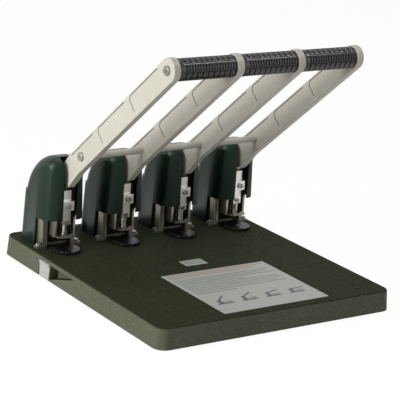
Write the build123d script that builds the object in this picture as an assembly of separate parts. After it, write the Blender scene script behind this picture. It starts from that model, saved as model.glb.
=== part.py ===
from build123d import *
import math
import os

# Four-head paper punch, millimetres, +Z up, +Y to the back, origin under the middle of the base.

# Base
BASE_MARGIN = 34.0
BASE_DEPTH = 338.0
BASE_TOP = 25.0
BASE_FLARE = 2.0
BASE_CORNER = 12.0
BASE_EDGE = 2.0
LEAST_CORNER = 1.0
BASE_WALL = 4.0
DECK_THICK = 4.0
FLOOR_THICK = 2.0
FOOT_PROUD = 1.5
FOOT_RADIUS = 11.0
FOOT_INSET = 26.0
BOSS_RADIUS = 5.0
FLOOR_SCREW_RADIUS = 1.5
FLOOR_SCREW_HEAD = 3.2
FLOOR_SCREW_SINK = 1.2
FLOOR_SCREW_GRIP = 9.0
FLOOR_SCREW_INSET = 16.0

# Finger recess in the left wall, with a floor that ramps up to the front
RECESS_LENGTH = 52.0
RECESS_DEPTH = 10.0
RECESS_LIP = 5.5
RECESS_SKIN = 2.0

# Paper guide
GUIDE_LEAD_IN = 19.5
GUIDE_TRAVEL = 110.0
GUIDE_HOLD = 40.0
GUIDE_BAR_WIDTH = 22.0
GUIDE_BAR_THICK = 4.0
STOP_WIDTH = 22.6
STOP_DROP = 18.2
STOP_THICK = 1.6
STOP_PIN_RADIUS = 0.6
KNUCKLE_RADIUS = 1.2
KNUCKLE_LENGTH = 6.0
HINGE_OUT = 0.8
RAIL_WALL = 2.5
RAIL_LIP = 2.5

# Heads
HEAD_COUNT = 4
HEAD_PITCH = 80.0
PUNCH_SETBACK = 76.5
PAPER_MARGIN = 10.5
STROKE = 12.5
THROAT = 12.0

# Cutting disc
DISC_RADIUS = 16.0
DISC_THICK = 3.8
DISC_OFFSET = 8.5
DISC_PIN_RADIUS = 3.0
DISC_GRIPS = 14
DISC_GRIP_RADIUS = 2.0

# Side frame
FRAME_SHEET = 3.0
FRAME_HALF = 18.8
CHEEK_THICK = 2.0
CHEEK_SETBACK = 1.5
FRAME_DEPTH = 44.0
FRAME_CREST = 8.0
WEB_HEIGHT = 36.0
WING_REACH = 10.0
WING_LENGTH = 8.0
FRAME_SCREW_RADIUS = 1.6
FRAME_SCREW_HEAD = 3.2
SCREW_HEAD_THICK = 2.4
SLOT_WIDTH = 1.1
SLOT_SINK = 0.9

# Inner guide and stripper
GUIDE_GAP_HALF = 11.0
GUIDE_SHEET = 2.5
GUIDE_LEAD = 1.5
GUIDE_TAIL = 30.0
GUIDE_BOSS_RADIUS = 7.0
BOLT_RADIUS = 2.5
BOLT_DROP = 36.0
STRIPPER_THICK = 1.6
STRIPPER_LEAD = 8.0
LIP_HALF = 8.0
LIP_HEIGHT = 5.0
LIP_NOTCH = 4.8

# Ram and punch pin
RAM_WIDTH = 10.5
RAM_DEPTH = 8.0
RAM_BOTTOM = 55.5
RAM_SHOULDER = 84.5
RAM_TOP = 96.5
RAM_NECK_WIDTH = 9.5
SLIDE_BOTTOM = 74.0
SLIDE_TOP = 93.0
SLIDE_DEPTH = 6.5
PIN_RADIUS = 3.5
PIN_BORE_RADIUS = 2.7
PIN_SOCKET = 16.0
PIN_HIDE = 0.8
CLAMP_WIDTH = 14.0
CLAMP_THICK = 4.0
CLAMP_BOTTOM = 73.0
RAM_SCREW_HEAD = 3.2
RAM_SCREW_RADIUS = 1.5
RAM_SCREW_GRIP = 5.0
LOW_SCREW_RISE = 3.6
LOW_SCREW_HEAD = 2.6

# Return spring
SPRING_RADIUS = 2.9
SPRING_WIRE = 0.5
SPRING_TURNS = 8
SPRING_SEAT_EDGE = 1.0

# Cover
COVER_LEAD = 11.0
COVER_TAIL = 62.5
COVER_TOP = 134.6
COVER_SIDE_ROOM = 1.9
COVER_DRAFT = 2.5
COVER_WALL = 1.6
COVER_ROUND = 14.0
COVER_BROW = 16.0
COVER_TOP_FLAT = 1.5
SKIRT_PROUD = 3.0
SKIRT_HEIGHT = 59.0
SLOT_HALF = 9.0
SLOT_TAIL = 5.5
NOTCH_TAIL = 26.0
NOTCH_TOP_REAR = 58.0
NOTCH_TOP_FRONT = 63.0
COVER_SCREW_HEIGHT = 45.0
COVER_SCREW_RADIUS = 2.0
COVER_SCREW_HEAD = 4.0

# Lever
LEVER_SWING = 37.0
ARM_ANGLE = 40.0
ARM_THICK = 8.4
ARM_HALF_WIDTH = 13.3
ARM_EDGE = 1.0
GRIP_HEIGHT = 279.5
GRIP_LEAD = 195.5
TIE_REACH = 208.0
ARM_FOOT_REACH = 228.0
HUB_RADIUS = 8.0
PIVOT_RADIUS = 4.0
PAD_RADIUS = 6.0
NOSE_RADIUS = 8.0
ROD_RADIUS = 4.0
TIE_RADIUS = 2.5
SPACER_RADIUS = 3.8
GRIP_RADIUS = 12.0
GRIP_COLLAR = 8.0
GRIP_BANDS = 5
GRIP_GROOVE = 1.2
GRIP_GROOVE_SINK = 1.0
END_SCREW_HEAD = 5.2
END_SCREW_THICK = 2.6
END_SCREW_SHARE = 0.5
END_SCREW_GRIP = 8.0

# Clearances
RUN_CLEAR = 0.05
SLIDE_CLEAR = 0.3
PAD_CLEAR = 0.3
DISC_CLEAR = 0.2
EPS = 1.0

HEADS = [(i - (HEAD_COUNT - 1) / 2) * HEAD_PITCH for i in range(HEAD_COUNT)]
BASE_WIDTH = (HEAD_COUNT - 1) * HEAD_PITCH + 2 * BASE_MARGIN

# Worked-out places
SWING_HALF = math.radians(LEVER_SWING) / 2
PUNCH_Y = BASE_DEPTH / 2 - PUNCH_SETBACK
COVER_FRONT = PUNCH_Y - COVER_LEAD
COVER_REAR = PUNCH_Y + COVER_TAIL
COVER_BACK = COVER_REAR + SKIRT_PROUD
COVER_HALF = FRAME_HALF + CHEEK_THICK + COVER_WALL + COVER_SIDE_ROOM
COVER_CROWN = COVER_LEAD + COVER_TAIL - COVER_BROW - COVER_TOP_FLAT
SLOT_REAR = PUNCH_Y + SLOT_TAIL
NOTCH_REAR = PUNCH_Y + NOTCH_TAIL
GUIDE_Y = PUNCH_Y - GUIDE_LEAD_IN
GRIP_Y = PUNCH_Y - GRIP_LEAD
STOP_Y = PUNCH_Y + PAPER_MARGIN
DISC_TOP = BASE_TOP + DISC_CLEAR + DISC_THICK
STRIPPER_BOTTOM = DISC_TOP + THROAT
STRIPPER_TOP = STRIPPER_BOTTOM + STRIPPER_THICK
PIN_TIP = STRIPPER_BOTTOM + PIN_HIDE
RAM_FRONT = PUNCH_Y - RAM_DEPTH / 2
RAM_BACK = PUNCH_Y + RAM_DEPTH / 2
PAD_Z = RAM_TOP + PAD_CLEAR + PAD_RADIUS
TIP_REACH = STROKE / (2 * math.sin(SWING_HALF))
PIVOT_Y = PUNCH_Y + TIP_REACH * math.cos(SWING_HALF)
PIVOT_Z = PAD_Z - STROKE / 2
SPRING_Y = RAM_BACK + SPRING_RADIUS + SPRING_WIRE + SLIDE_CLEAR
STRIPPER_REAR = SPRING_Y + SPRING_RADIUS + SPRING_WIRE + SPRING_SEAT_EDGE
GUIDE_FRONT = PUNCH_Y - GUIDE_LEAD
GUIDE_REAR = GUIDE_FRONT + GUIDE_TAIL
BOLT_Y = (STOP_Y + GUIDE_REAR) / 2
BOLT_Z = PIVOT_Z - BOLT_DROP
FRAME_REAR = STOP_Y + FRAME_DEPTH
DISC_Y = PUNCH_Y - DISC_OFFSET
WING_X = FRAME_HALF + CHEEK_THICK + (WING_REACH - CHEEK_THICK) / 2
WING_Y = STOP_Y + WING_LENGTH / 2
DECK_UNDER = BASE_TOP - DECK_THICK
FLOOR_TOP = FOOT_PROUD + FLOOR_THICK
WALL_SLOPE = BASE_FLARE / (BASE_TOP - FOOT_PROUD)
ARM_RISE = math.radians(ARM_ANGLE)


def box(x0, x1, y0, y1, z0, z1):
    return Pos((x0 + x1) / 2, (y0 + y1) / 2, (z0 + z1) / 2) * Box(x1 - x0, y1 - y0, z1 - z0)


def rod_x(radius, x0, x1, y, z):
    return Pos((x0 + x1) / 2, y, z) * Rot(0, 90, 0) * Cylinder(radius, x1 - x0)


def rod_y(radius, x, y0, y1, z):
    return Pos(x, (y0 + y1) / 2, z) * Rot(90, 0, 0) * Cylinder(radius, y1 - y0)


def rod_z(radius, x, y, z0, z1):
    return Pos(x, y, (z0 + z1) / 2) * Cylinder(radius, z1 - z0)


def side_slab(outline, half):
    # An outline drawn in Y and Z, thickened evenly about the middle plane.
    return extrude(Plane.YZ * outline, amount=half, both=True)


def side_pair(outline, inner, outer):
    return side_slab(outline, outer) - side_slab(outline, inner)


def disc_2d(y, z, radius):
    return Pos(y, z) * Circle(radius)


def hull_2d(*shapes):
    edges = ShapeList()
    for shape in shapes:
        edges = edges + shape.edges()
    return make_hull(edges)


def rect_2d(y0, y1, z0, z1):
    return Pos((y0 + y1) / 2, (z0 + z1) / 2) * Rectangle(y1 - y0, z1 - z0)


def screw_down(head_radius, shank_radius, x, y, seat, grip):
    # Pan-head screw that points down, with a slot across its head.
    top = seat + SCREW_HEAD_THICK
    head = rod_z(head_radius, x, y, seat, top)
    half = SLOT_WIDTH / 2
    slot = box(x - head_radius, x + head_radius, y - half, y + half, top - SLOT_SINK, top + EPS)
    return head + rod_z(shank_radius, x, y, seat - grip, seat) - slot


def screw_back(head_radius, shank_radius, x, seat, z, grip):
    # Slotted screw that points to the back.
    front = seat - SCREW_HEAD_THICK
    head = rod_y(head_radius, x, front, seat, z)
    half = SLOT_WIDTH / 2
    slot = box(x - half, x + half, front - EPS, front + SLOT_SINK, z - head_radius, z + head_radius)
    return head + rod_y(shank_radius, x, seat, seat + grip, z) - slot


def base_block(inset, z0, z1):
    # A block that follows the base's drafted walls at an inset.
    low = WALL_SLOPE * (BASE_TOP - z0)
    width = BASE_WIDTH - 2 * inset + 2 * low
    depth = BASE_DEPTH - 2 * inset + 2 * low
    corner = max(BASE_CORNER - inset, LEAST_CORNER) + low
    plan = Pos(0, 0, z0) * RectangleRounded(width, depth, corner)
    return extrude(plan, amount=z1 - z0, taper=math.degrees(math.atan(WALL_SLOPE)))


def wing_places():
    return [(x + side * WING_X, WING_Y) for x in HEADS for side in (-1, 1)]


def floor_screw_places():
    x = BASE_WIDTH / 2 - FLOOR_SCREW_INSET
    y = BASE_DEPTH / 2 - FLOOR_SCREW_INSET
    return [(sx * x, sy * y) for sx in (-1, 0, 1) for sy in (-1, 1)]


# Paper guide places
WALL_X = -BASE_WIDTH / 2
HINGE_X = WALL_X - HINGE_OUT
BAR_X = HINGE_X + STOP_THICK + SLIDE_CLEAR
BAR_TOP = DECK_UNDER - SLIDE_CLEAR
BAR_BOTTOM = BAR_TOP - GUIDE_BAR_THICK
BAR_HALF = GUIDE_BAR_WIDTH / 2
BAR_LENGTH = GUIDE_TRAVEL + GUIDE_HOLD
HINGE_Z = (BAR_TOP + BAR_BOTTOM) / 2
STOP_BOTTOM = HINGE_Z - STOP_DROP

# Finger recess places
RECESS_REAR = GUIDE_Y - BAR_HALF - SLIDE_CLEAR - RECESS_SKIN
RECESS_FRONT = RECESS_REAR - RECESS_LENGTH
RECESS_TOP = BASE_TOP - RECESS_LIP


def guide_rails():
    # Two hooked rails under the deck that carry the paper guide's bar.
    inner = BAR_HALF + SLIDE_CLEAR
    outer = inner + RAIL_WALL
    bottom = BAR_BOTTOM - SLIDE_CLEAR - RAIL_LIP
    x0 = WALL_X + BASE_WALL / 2
    x1 = BAR_X + BAR_LENGTH
    channel = box(x0, x1, GUIDE_Y - outer, GUIDE_Y + outer, bottom, DECK_UNDER + EPS)
    run = box(x0 - EPS, x1 + EPS, GUIDE_Y - inner, GUIDE_Y + inner, bottom + RAIL_LIP, DECK_UNDER)
    gap = inner - RAIL_LIP
    mouth = box(x0 - EPS, x1 + EPS, GUIDE_Y - gap, GUIDE_Y + gap, bottom - EPS, DECK_UNDER)
    return channel - run - mouth


def base_shell():
    shell = base_block(0, FOOT_PROUD, BASE_TOP)
    shell = fillet(shell.faces().sort_by(Axis.Z)[-1].edges(), BASE_EDGE)
    shell -= base_block(BASE_WALL, FOOT_PROUD - EPS, DECK_UNDER)
    for x, y in floor_screw_places():
        shell += rod_z(BOSS_RADIUS, x, y, FLOOR_TOP, DECK_UNDER + EPS)
        shell -= rod_z(FLOOR_SCREW_RADIUS, x, y, FLOOR_TOP - EPS, FLOOR_TOP + FLOOR_SCREW_GRIP)
    for x, y in wing_places():
        shell += rod_z(FRAME_SCREW_HEAD, x, y, DECK_UNDER - DECK_THICK, DECK_UNDER + EPS)
        shell -= rod_z(FRAME_SCREW_RADIUS, x, y, DECK_UNDER - DECK_THICK - EPS, BASE_TOP + EPS)
    shell += guide_rails()
    for x in HEADS:
        shell -= rod_z(DISC_PIN_RADIUS, x, DISC_Y, DECK_UNDER, BASE_TOP + EPS)
    y0 = RECESS_FRONT - RECESS_SKIN
    y1 = RECESS_REAR + RECESS_SKIN
    x0 = WALL_X + BASE_WALL / 2
    x1 = WALL_X + RECESS_DEPTH
    shell += box(x0, x1 + RECESS_SKIN, y0, y1, FLOOR_TOP, DECK_UNDER + EPS)
    out = WALL_X - BASE_FLARE - EPS
    corners = (RECESS_FRONT, RECESS_TOP), (RECESS_REAR, FLOOR_TOP), (RECESS_REAR, RECESS_TOP)
    wedge = Polygon(*corners, align=None)
    shell -= extrude(Plane.YZ.offset(out) * wedge, amount=x1 - out)
    pocket_half = STOP_WIDTH / 2 + SLIDE_CLEAR
    pocket_top = HINGE_Z + KNUCKLE_RADIUS + SLIDE_CLEAR
    pocket_low = STOP_BOTTOM - SLIDE_CLEAR
    shell -= box(out, BAR_X, GUIDE_Y - pocket_half, GUIDE_Y + pocket_half, pocket_low, pocket_top)
    door_half = BAR_HALF + SLIDE_CLEAR
    door_low = BAR_BOTTOM - SLIDE_CLEAR
    door_end = WALL_X + BASE_WALL
    return shell - box(out, door_end, GUIDE_Y - door_half, GUIDE_Y + door_half, door_low, DECK_UNDER)


def base_floor():
    low = base_block(BASE_WALL + SLIDE_CLEAR, FOOT_PROUD, FLOOR_TOP)
    for x, y in floor_screw_places():
        low -= rod_z(FLOOR_SCREW_RADIUS, x, y, FOOT_PROUD - EPS, FLOOR_TOP + EPS)
        low -= rod_z(FLOOR_SCREW_HEAD, x, y, FOOT_PROUD - EPS, FOOT_PROUD + FLOOR_SCREW_SINK)
    return low


def floor_screws():
    screws = []
    for x, y in floor_screw_places():
        head = rod_z(FLOOR_SCREW_HEAD, x, y, FOOT_PROUD, FOOT_PROUD + FLOOR_SCREW_SINK)
        screws.append(head + rod_z(FLOOR_SCREW_RADIUS, x, y, FOOT_PROUD, FLOOR_TOP + FLOOR_SCREW_GRIP))
    return screws


def rubber_feet():
    x = BASE_WIDTH / 2 - FOOT_INSET - FLOOR_SCREW_INSET
    y = BASE_DEPTH / 2 - FOOT_INSET
    return [rod_z(FOOT_RADIUS, sx * x, sy * y, 0, FOOT_PROUD) for sx in (-1, 1) for sy in (-1, 0, 1)]


def paper_bar():
    bar = box(BAR_X, BAR_X + BAR_LENGTH, GUIDE_Y - BAR_HALF, GUIDE_Y + BAR_HALF, BAR_BOTTOM, BAR_TOP)
    for side in (-1, 1):
        y_out = GUIDE_Y + side * BAR_HALF
        y_in = y_out - side * KNUCKLE_LENGTH
        y0 = min(y_in, y_out)
        y1 = max(y_in, y_out)
        bar += box(HINGE_X, BAR_X + EPS, y0, y1, HINGE_Z - KNUCKLE_RADIUS, HINGE_Z + KNUCKLE_RADIUS)
        bar += rod_y(KNUCKLE_RADIUS, HINGE_X, y0, y1, HINGE_Z)
    return bar + rod_y(STOP_PIN_RADIUS, HINGE_X, GUIDE_Y - BAR_HALF, GUIDE_Y + BAR_HALF, HINGE_Z)


def paper_stop():
    tongue = BAR_HALF - KNUCKLE_LENGTH - SLIDE_CLEAR
    x1 = HINGE_X + STOP_THICK
    plate_top = HINGE_Z - KNUCKLE_RADIUS - SLIDE_CLEAR
    half = STOP_WIDTH / 2
    plate = box(HINGE_X, x1, GUIDE_Y - half, GUIDE_Y + half, STOP_BOTTOM, plate_top)
    plate += box(HINGE_X, x1, GUIDE_Y - tongue, GUIDE_Y + tongue, plate_top - EPS, HINGE_Z)
    plate += rod_y(KNUCKLE_RADIUS, HINGE_X, GUIDE_Y - tongue, GUIDE_Y + tongue, HINGE_Z)
    return plate - rod_y(STOP_PIN_RADIUS + RUN_CLEAR, HINGE_X, GUIDE_Y - half, GUIDE_Y + half, HINGE_Z)


def head_frame():
    foot = rect_2d(STOP_Y, FRAME_REAR, BASE_TOP, BASE_TOP + WEB_HEIGHT)
    outline = hull_2d(foot, disc_2d(PIVOT_Y, PIVOT_Z, FRAME_CREST))
    inner = FRAME_HALF - FRAME_SHEET
    frame = side_pair(outline, inner, FRAME_HALF)
    wing_top = BASE_TOP + FRAME_SHEET
    wing_out = FRAME_HALF + WING_REACH
    for side in (-1, 1):
        x0 = min(side * inner, side * wing_out)
        x1 = max(side * inner, side * wing_out)
        frame += box(x0, x1, STOP_Y, STOP_Y + WING_LENGTH, BASE_TOP, wing_top)
        frame -= rod_z(FRAME_SCREW_RADIUS, side * WING_X, WING_Y, BASE_TOP - EPS, wing_top + EPS)
    frame += box(-FRAME_HALF, FRAME_HALF, STOP_Y + WING_LENGTH, FRAME_REAR, BASE_TOP, wing_top)
    cheek = rect_2d(STOP_Y + CHEEK_SETBACK, NOTCH_REAR + COVER_ROUND, BASE_TOP, NOTCH_TOP_REAR)
    frame += side_pair(cheek, FRAME_HALF, FRAME_HALF + CHEEK_THICK)
    web_front = FRAME_REAR - FRAME_SHEET
    frame += box(-FRAME_HALF, FRAME_HALF, web_front, FRAME_REAR, BASE_TOP, BASE_TOP + WEB_HEIGHT)
    frame -= rod_x(PIVOT_RADIUS, -FRAME_HALF - EPS, FRAME_HALF + EPS, PIVOT_Y, PIVOT_Z)
    bolt_half = FRAME_HALF + CHEEK_THICK
    frame -= rod_x(BOLT_RADIUS, -bolt_half - EPS, bolt_half + EPS, BOLT_Y, BOLT_Z)
    return frame - rod_y(COVER_SCREW_RADIUS, 0, web_front - EPS, FRAME_REAR + EPS, COVER_SCREW_HEIGHT)


def punch_guide():
    foot = rect_2d(GUIDE_FRONT, GUIDE_REAR, STRIPPER_BOTTOM, SLIDE_BOTTOM)
    outline = hull_2d(foot, disc_2d(PIVOT_Y, PIVOT_Z, GUIDE_BOSS_RADIUS))
    outer = GUIDE_GAP_HALF + GUIDE_SHEET
    reach = FRAME_HALF - FRAME_SHEET
    guide = side_pair(outline, GUIDE_GAP_HALF, outer)
    back_top = BOLT_Z + GUIDE_BOSS_RADIUS
    guide += box(-outer, outer, GUIDE_REAR - GUIDE_SHEET, GUIDE_REAR, STRIPPER_BOTTOM, back_top)
    for y, z, radius in ((PIVOT_Y, PIVOT_Z, PIVOT_RADIUS), (BOLT_Y, BOLT_Z, BOLT_RADIUS)):
        for side in (-1, 1):
            x0 = min(side * GUIDE_GAP_HALF, side * reach)
            x1 = max(side * GUIDE_GAP_HALF, side * reach)
            guide += rod_x(GUIDE_BOSS_RADIUS, x0, x1, y, z)
        guide -= rod_x(radius, -reach - EPS, reach + EPS, y, z)
    return guide


def stripper_plate():
    front = PUNCH_Y - STRIPPER_LEAD
    plate = box(-GUIDE_GAP_HALF, GUIDE_GAP_HALF, front, STRIPPER_REAR, STRIPPER_BOTTOM, STRIPPER_TOP)
    lip_top = STRIPPER_BOTTOM + LIP_HEIGHT
    plate += box(-LIP_HALF, LIP_HALF, front - STRIPPER_THICK, front, STRIPPER_BOTTOM, lip_top)
    notch = Polygon((-LIP_NOTCH, lip_top), (0, STRIPPER_TOP), (LIP_NOTCH, lip_top), align=None)
    plate -= extrude(Plane.XZ.offset(-front - EPS) * notch, amount=STRIPPER_THICK + 2 * EPS)
    return plate - rod_z(PIN_RADIUS + SLIDE_CLEAR, 0, PUNCH_Y, STRIPPER_BOTTOM - EPS, STRIPPER_TOP + EPS)


def ram():
    half = RAM_WIDTH / 2
    neck = RAM_NECK_WIDTH / 2
    slide = GUIDE_GAP_HALF - SLIDE_CLEAR
    body = box(-half, half, RAM_FRONT, RAM_BACK, RAM_BOTTOM, RAM_SHOULDER)
    body += box(-neck, neck, RAM_FRONT, RAM_BACK, RAM_SHOULDER - EPS, RAM_TOP)
    body += box(-slide, slide, RAM_BACK, RAM_BACK + SLIDE_DEPTH, SLIDE_BOTTOM, SLIDE_TOP)
    body -= rod_z(PIN_RADIUS, 0, PUNCH_Y, RAM_BOTTOM - EPS, RAM_BOTTOM + PIN_SOCKET)
    body -= rod_y(RAM_SCREW_RADIUS, 0, RAM_FRONT - EPS, RAM_FRONT + RAM_SCREW_GRIP, clamp_screw_height())
    return body - rod_y(RAM_SCREW_RADIUS, 0, RAM_FRONT - EPS, PUNCH_Y, RAM_BOTTOM + LOW_SCREW_RISE)


def clamp_screw_height():
    return (CLAMP_BOTTOM + RAM_SHOULDER) / 2


def clamp_plate():
    half = CLAMP_WIDTH / 2
    front = RAM_FRONT - CLAMP_THICK
    plate = box(-half, half, front, RAM_FRONT, CLAMP_BOTTOM, RAM_SHOULDER)
    return plate - rod_y(RAM_SCREW_RADIUS, 0, front - EPS, RAM_FRONT + EPS, clamp_screw_height())


def ram_screws():
    seat = RAM_FRONT - CLAMP_THICK
    grip = CLAMP_THICK + RAM_SCREW_GRIP
    upper = screw_back(RAM_SCREW_HEAD, RAM_SCREW_RADIUS, 0, seat, clamp_screw_height(), grip)
    low_grip = RAM_DEPTH / 2 - PIN_RADIUS
    low_z = RAM_BOTTOM + LOW_SCREW_RISE
    return [upper, screw_back(LOW_SCREW_HEAD, RAM_SCREW_RADIUS, 0, RAM_FRONT, low_z, low_grip)]


def punch_pin():
    top = RAM_BOTTOM + PIN_SOCKET
    tube = rod_z(PIN_RADIUS, 0, PUNCH_Y, PIN_TIP, top)
    return tube - rod_z(PIN_BORE_RADIUS, 0, PUNCH_Y, PIN_TIP - EPS, top + EPS)


def helix_point(turn):
    rise = SLIDE_BOTTOM - STRIPPER_TOP - 2 * SPRING_WIRE
    angle = 2 * math.pi * turn
    y = SPRING_Y + SPRING_RADIUS * math.sin(angle)
    z = STRIPPER_TOP + SPRING_WIRE + rise * turn / SPRING_TURNS
    return Vector(SPRING_RADIUS * math.cos(angle), y, z)


def helix_heading(turn):
    rise = SLIDE_BOTTOM - STRIPPER_TOP - 2 * SPRING_WIRE
    angle = 2 * math.pi * turn
    around = 2 * math.pi * SPRING_RADIUS
    return Vector(-around * math.sin(angle), around * math.cos(angle), rise / SPRING_TURNS).normalized()


def biarc(start, heading, end, end_heading):
    # Two arcs that leave the start and reach the end along the given headings.
    span = end - start
    both = heading + end_heading
    a = 2 * (heading.dot(end_heading) - 1)
    b = -2 * span.dot(both)
    c = span.dot(span)
    reach = (-b - math.sqrt(b * b - 4 * a * c)) / (2 * a)
    first = start + heading * reach
    last = end - end_heading * reach
    middle = (first + last) * 0.5
    across = (last - first).normalized()
    return [Edge.make_tangent_arc(start, heading, middle), Edge.make_tangent_arc(middle, across, end)]


def spring_gap():
    # Least distance between the wire's surfaces, from points on turns at least half a turn apart.
    steps = 32
    points = [helix_point(i / steps) for i in range(SPRING_TURNS * steps + 1)]
    gaps = []
    for i, point in enumerate(points):
        gaps += [(point - other).length for other in points[i + steps // 2:]]
    return min(gaps) - 2 * SPRING_WIRE


def return_spring():
    edges = []
    quarters = SPRING_TURNS * 4
    for i in range(quarters):
        t0 = i / 4
        t1 = (i + 1) / 4
        edges += biarc(helix_point(t0), helix_heading(t0), helix_point(t1), helix_heading(t1))
    path = Wire(edges)
    section = Plane(origin=helix_point(0), z_dir=helix_heading(0)) * Circle(SPRING_WIRE)
    return sweep(section, path=path)


def cutting_disc():
    bottom = BASE_TOP + DISC_CLEAR
    disc = rod_z(DISC_RADIUS, 0, DISC_Y, bottom, DISC_TOP)
    disc = fillet(disc.edges().group_by(Axis.Z)[-1], DISC_THICK / 4)
    for i in range(DISC_GRIPS):
        angle = 2 * math.pi * i / DISC_GRIPS
        reach = DISC_RADIUS + DISC_GRIP_RADIUS / 2
        x = reach * math.cos(angle)
        y = DISC_Y + reach * math.sin(angle)
        disc -= rod_z(DISC_GRIP_RADIUS, x, y, bottom - EPS, DISC_TOP + EPS)
    return disc - rod_z(DISC_PIN_RADIUS + RUN_CLEAR, 0, DISC_Y, bottom - EPS, DISC_TOP + EPS)


def disc_pins():
    return [rod_z(DISC_PIN_RADIUS, x, DISC_Y, DECK_UNDER, DISC_TOP - DISC_CLEAR) for x in HEADS]


def cover_core(inset, floor):
    front = COVER_FRONT + inset
    rear = COVER_REAR - inset
    top = COVER_TOP - inset
    brow = COVER_BROW - inset
    crown = COVER_CROWN - inset
    quarter = -90
    lines = Polyline((front + brow, top), (rear - crown, top))
    crown_arc = JernArc(start=(rear - crown, top), tangent=(1, 0), radius=crown, arc_size=quarter)
    walls = Polyline((rear, top - crown), (rear, floor), (front, floor), (front, top - brow))
    brow_arc = JernArc(start=(front, top - brow), tangent=(0, 1), radius=brow, arc_size=quarter)
    profile = make_face([*lines.edges(), *crown_arc.edges(), *walls.edges(), *brow_arc.edges()])
    draft = math.tan(math.radians(COVER_DRAFT))
    low = COVER_HALF - inset + draft * (BASE_TOP - floor)
    high = COVER_HALF - inset - draft * (top + EPS - BASE_TOP)
    front_view = Polygon((-low, floor), (low, floor), (high, top + EPS), (-high, top + EPS), align=None)
    tapered = extrude(Plane.XZ * front_view, amount=2 * COVER_REAR, both=True)
    core = side_slab(profile, 2 * COVER_HALF) & tapered
    sides = core.faces().sort_by(Axis.X)
    rims = [e for f in (sides[0], sides[-1]) for e in f.edges() if e.center().Z > floor + EPS]
    return fillet(rims, COVER_ROUND - inset)


def cover_skirt():
    # The lower part of the cover's back stands proud by a small step.
    front = COVER_REAR - COVER_ROUND
    top = BASE_TOP + SKIRT_HEIGHT
    zone = box(-2 * COVER_HALF, 2 * COVER_HALF, front, COVER_BACK + EPS, BASE_TOP, top)
    return (Pos(0, SKIRT_PROUD, 0) * cover_core(0, BASE_TOP)) & zone


def head_cover():
    cover = cover_core(0, BASE_TOP) + cover_skirt() - cover_core(COVER_WALL, BASE_TOP - 2 * EPS)
    cover -= box(-SLOT_HALF, SLOT_HALF, COVER_FRONT - EPS, SLOT_REAR, BASE_TOP - EPS, COVER_TOP + EPS)
    lead = COVER_FRONT - EPS
    low = BASE_TOP - EPS
    rear = NOTCH_REAR
    notch = Polygon((lead, low), (rear, low), (rear, NOTCH_TOP_REAR), (lead, NOTCH_TOP_FRONT), align=None)
    cover -= side_slab(notch, 2 * COVER_HALF)
    wall = COVER_REAR - COVER_WALL
    return cover - rod_y(COVER_SCREW_RADIUS, 0, wall - EPS, COVER_BACK + EPS, COVER_SCREW_HEIGHT)


def cover_screws():
    screws = []
    front = FRAME_REAR - FRAME_SHEET
    rear = COVER_BACK + SCREW_HEAD_THICK
    z = COVER_SCREW_HEIGHT
    radius = COVER_SCREW_HEAD
    half = SLOT_WIDTH / 2
    for x in HEADS:
        head = rod_y(radius, x, COVER_BACK, rear, z)
        slot = box(x - half, x + half, rear - SLOT_SINK, rear + EPS, z - radius, z + radius)
        screws.append(head + rod_y(COVER_SCREW_RADIUS, x, front, COVER_BACK, z) - slot)
    return screws


def frame_screws():
    grip = FRAME_SHEET + 2 * DECK_THICK
    seat = BASE_TOP + FRAME_SHEET
    return [screw_down(FRAME_SCREW_HEAD, FRAME_SCREW_RADIUS, x, y, seat, grip) for x, y in wing_places()]


def pivot_pins():
    return [rod_x(PIVOT_RADIUS, x - FRAME_HALF, x + FRAME_HALF, PIVOT_Y, PIVOT_Z) for x in HEADS]


def guide_bolts():
    return [rod_x(BOLT_RADIUS, x - FRAME_HALF, x + FRAME_HALF, BOLT_Y, BOLT_Z) for x in HEADS]


def along_arm(reach):
    # A point on the arm's middle line, measured down from the handle rod.
    return (GRIP_Y + reach * math.cos(ARM_RISE), GRIP_HEIGHT - reach * math.sin(ARM_RISE))


def lever_arm():
    half = ARM_THICK / 2
    grip = disc_2d(*along_arm(0), ARM_HALF_WIDTH)
    foot = disc_2d(*along_arm(ARM_FOOT_REACH), ARM_HALF_WIDTH)
    bar = side_slab(hull_2d(grip, foot), half)
    bar = fillet(bar.edges().filter_by(lambda e: abs(abs(e.center().X) - half) < EPS / 10), ARM_EDGE)
    hub = disc_2d(PIVOT_Y, PIVOT_Z, HUB_RADIUS)
    nose = disc_2d(PUNCH_Y, PAD_Z, NOSE_RADIUS)
    heel = side_slab(hull_2d(foot, hub, nose), half)
    flat = PAD_Z - PAD_CLEAR
    lead = COVER_FRONT - ARM_HALF_WIDTH
    below = box(-ARM_THICK, ARM_THICK, lead, PIVOT_Y - HUB_RADIUS, BASE_TOP, flat)
    hub_half = GUIDE_GAP_HALF - SLIDE_CLEAR
    arm = bar + (heel - below) + rod_x(HUB_RADIUS, -hub_half, hub_half, PIVOT_Y, PIVOT_Z)
    arm -= rod_x(PIVOT_RADIUS + RUN_CLEAR, -hub_half - EPS, hub_half + EPS, PIVOT_Y, PIVOT_Z)
    arm -= rod_x(PAD_RADIUS, -ARM_THICK, ARM_THICK, PUNCH_Y, PAD_Z)
    arm -= rod_x(ROD_RADIUS, -ARM_THICK, ARM_THICK, *along_arm(0))
    return arm - rod_x(TIE_RADIUS, -ARM_THICK, ARM_THICK, *along_arm(TIE_REACH))


def press_pads():
    half = ARM_THICK / 2
    return [rod_x(PAD_RADIUS, x - half, x + half, PUNCH_Y, PAD_Z) for x in HEADS]


def end_rod(radius, reach):
    # A rod through all four arms, bored at both ends for its screws.
    end = HEADS[-1] + ARM_THICK / 2
    y, z = along_arm(reach)
    rod = rod_x(radius, -end, end, y, z)
    bore = rod_x(radius * END_SCREW_SHARE, end - END_SCREW_GRIP, end + EPS, y, z)
    return rod - bore - mirror(bore, about=Plane.YZ)


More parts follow.
